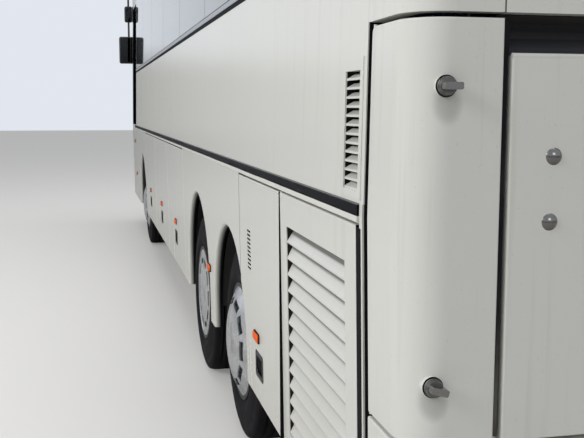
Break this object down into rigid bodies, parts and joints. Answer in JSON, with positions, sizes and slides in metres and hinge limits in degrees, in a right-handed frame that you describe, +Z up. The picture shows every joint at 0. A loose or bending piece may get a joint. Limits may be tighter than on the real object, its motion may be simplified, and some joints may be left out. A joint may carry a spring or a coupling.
{
  "type": "coach bus",
  "caption": "Three-axle high-decker coach with hinged luggage, service, engine and corner flaps, steered front wheels and rolling twin and tag wheels.",
  "frame": {"origin": "on the floor under the middle of the bounding box", "axes": "+X forward along the vehicle, +Y to its left, +Z up"},
  "size_m": [11.992, 2.81, 3.6739],
  "materials": {
    "body_white": "gloss",
    "tyre": "matte",
    "rim_steel": "satin",
    "belt_rubber": "satin",
    "glazing": "gloss",
    "chassis_black": "matte",
    "seat_fabric": "matte",
    "black_plastic": "matte",
    "floor_vinyl": "matte",
    "lamp_red": "gloss",
    "lamp_clear": "gloss"
  },
  "bodies": {
    "body": {"belt_trims": "belt_rubber", "bulkheads": "chassis_black", "chassis": "chassis_black", "dash": "black_plastic", "drive_axle": "chassis_black", "engine": "chassis_black", "front_axle": "chassis_black", "front_bumper": "body_white", "front_door": "body_white", "front_quarters": "body_white", "front_shell": "body_white", "glazing": "glazing", "headlamps": "lamp_clear", "mid_door": "body_white", "mirrors": "black_plastic", "rear_bumper": "body_white", "rear_cap": "body_white", "rear_quarters": "body_white", "roof": "body_white", "saloon_floor": "floor_vinyl", "seats": "seat_fabric", "side_wall_left": "body_white", "side_wall_right": "body_white", "tag_axle": "chassis_black", "tail_lamps": "lamp_red", "wheel_housings": "black_plastic", "windscreen": "glazing", "wipers": "black_plastic"},
    "luggage_flap_left_1": {"luggage_flap_left_1": "body_white"},
    "luggage_flap_left_2": {"luggage_flap_left_2": "body_white"},
    "luggage_flap_left_3": {"luggage_flap_left_3": "body_white"},
    "service_flap_left": {"service_flap_left": "body_white"},
    "engine_door_left": {"engine_door_left": "body_white"},
    "corner_panel_left": {"corner_panel_left": "body_white"},
    "luggage_flap_right_1": {"luggage_flap_right_1": "body_white"},
    "luggage_flap_right_2": {"luggage_flap_right_2": "body_white"},
    "service_flap_right": {"service_flap_right": "body_white"},
    "engine_door_right": {"engine_door_right": "body_white"},
    "corner_panel_right": {"corner_panel_right": "body_white"},
    "engine_flap": {"engine_flap": "body_white"},
    "knuckle_left": {"knuckle_left": "chassis_black"},
    "knuckle_right": {"knuckle_right": "chassis_black"},
    "front_wheel_left": {"front_tyre_left": "tyre", "front_wheel_left": "rim_steel"},
    "front_wheel_right": {"front_tyre_right": "tyre", "front_wheel_right": "rim_steel"},
    "drive_wheel_left": {"drive_tyres_left": "tyre", "drive_wheel_left": "rim_steel"},
    "drive_wheel_right": {"drive_tyres_right": "tyre", "drive_wheel_right": "rim_steel"},
    "tag_wheel_left": {"tag_tyre_left": "tyre", "tag_wheel_left": "rim_steel"},
    "tag_wheel_right": {"tag_tyre_right": "tyre", "tag_wheel_right": "rim_steel"},
    "steering_wheel": {"steering_wheel": "black_plastic"}
  },
  "joints": [
    {"name": "luggage_flap_left_1_hinge", "type": "hinge", "parent": "body", "child": "luggage_flap_left_1", "pos_m": [-0.65, 1.2443, 1.381], "axis": [1, 0, 0], "range_deg": [0, 85]},
    {"name": "luggage_flap_left_2_hinge", "type": "hinge", "parent": "body", "child": "luggage_flap_left_2", "pos_m": [0.711, 1.2443, 1.381], "axis": [1, 0, 0], "range_deg": [0, 85]},
    {"name": "luggage_flap_left_3_hinge", "type": "hinge", "parent": "body", "child": "luggage_flap_left_3", "pos_m": [2.141, 1.2443, 1.381], "axis": [1, 0, 0], "range_deg": [0, 85]},
    {"name": "service_flap_left_hinge", "type": "hinge", "parent": "body", "child": "service_flap_left", "pos_m": [-4.19, 1.2443, 1.381], "axis": [1, 0, 0], "range_deg": [0, 85]},
    {"name": "engine_door_left_hinge", "type": "hinge", "parent": "body", "child": "engine_door_left", "pos_m": [-4.649, 1.23493, 0.916], "axis": [0, -0.018, -0.9998], "range_deg": [0, 88]},
    {"name": "corner_panel_left_hinge", "type": "hinge", "parent": "body", "child": "corner_panel_left", "pos_m": [-5.686, 1.235, 1.4025], "axis": [0, 0, -1], "range_deg": [0, 85]},
    {"name": "luggage_flap_right_1_hinge", "type": "hinge", "parent": "body", "child": "luggage_flap_right_1", "pos_m": [0.36, -1.2443, 1.381], "axis": [-1, 0, 0], "range_deg": [0, 85]},
    {"name": "luggage_flap_right_2_hinge", "type": "hinge", "parent": "body", "child": "luggage_flap_right_2", "pos_m": [2.025, -1.2443, 1.381], "axis": [-1, 0, 0], "range_deg": [0, 85]},
    {"name": "service_flap_right_hinge", "type": "hinge", "parent": "body", "child": "service_flap_right", "pos_m": [-4.19, -1.2443, 1.381], "axis": [-1, 0, 0], "range_deg": [0, 85]},
    {"name": "engine_door_right_hinge", "type": "hinge", "parent": "body", "child": "engine_door_right", "pos_m": [-4.649, -1.23493, 0.916], "axis": [0, -0.018, 0.9998], "range_deg": [0, 88]},
    {"name": "corner_panel_right_hinge", "type": "hinge", "parent": "body", "child": "corner_panel_right", "pos_m": [-5.686, -1.235, 1.4025], "axis": [0, 0, 1], "range_deg": [0, 85]},
    {"name": "engine_flap_hinge", "type": "hinge", "parent": "body", "child": "engine_flap", "pos_m": [-5.945, 0, 1.804], "axis": [0, 1, 0], "range_deg": [0, 80]},
    {"name": "front_wheel_left_spin", "type": "hinge", "parent": "knuckle_left", "child": "front_wheel_left", "pos_m": [3.5, 1.04, 0.5], "axis": [0, 1, 0], "continuous": true},
    {"name": "front_wheel_right_spin", "type": "hinge", "parent": "knuckle_right", "child": "front_wheel_right", "pos_m": [3.5, -1.04, 0.5], "axis": [0, 1, 0], "continuous": true},
    {"name": "drive_wheel_left_spin", "type": "hinge", "parent": "body", "child": "drive_wheel_left", "pos_m": [-2.08, 1.066, 0.5], "axis": [0, 1, 0], "continuous": true},
    {"name": "drive_wheel_right_spin", "type": "hinge", "parent": "body", "child": "drive_wheel_right", "pos_m": [-2.08, -1.066, 0.5], "axis": [0, 1, 0], "continuous": true},
    {"name": "tag_wheel_left_spin", "type": "hinge", "parent": "body", "child": "tag_wheel_left", "pos_m": [-3.34, 1.04, 0.5], "axis": [0, 1, 0], "continuous": true},
    {"name": "tag_wheel_right_spin", "type": "hinge", "parent": "body", "child": "tag_wheel_right", "pos_m": [-3.34, -1.04, 0.5], "axis": [0, 1, 0], "continuous": true},
    {"name": "steer_left", "type": "hinge", "parent": "body", "child": "knuckle_left", "pos_m": [3.5, 0.88, 0.5], "axis": [0, 0, 1], "range_deg": [-40, 40]},
    {"name": "steer_right", "type": "hinge", "parent": "body", "child": "knuckle_right", "pos_m": [3.5, -0.88, 0.5], "axis": [0, 0, 1], "range_deg": [-40, 40]},
    {"name": "steering_wheel_turn", "type": "hinge", "parent": "body", "child": "steering_wheel", "pos_m": [5.33, 0.66, 1.64], "axis": [-0.4226, 0, 0.9063], "range_deg": [-720, 720]}
  ],
  "couplings": [
    {"joint": "steer_right", "follows": "steer_left", "ratio": 1},
    {"joint": "steering_wheel_turn", "follows": "steer_left", "ratio": 18}
  ]
}
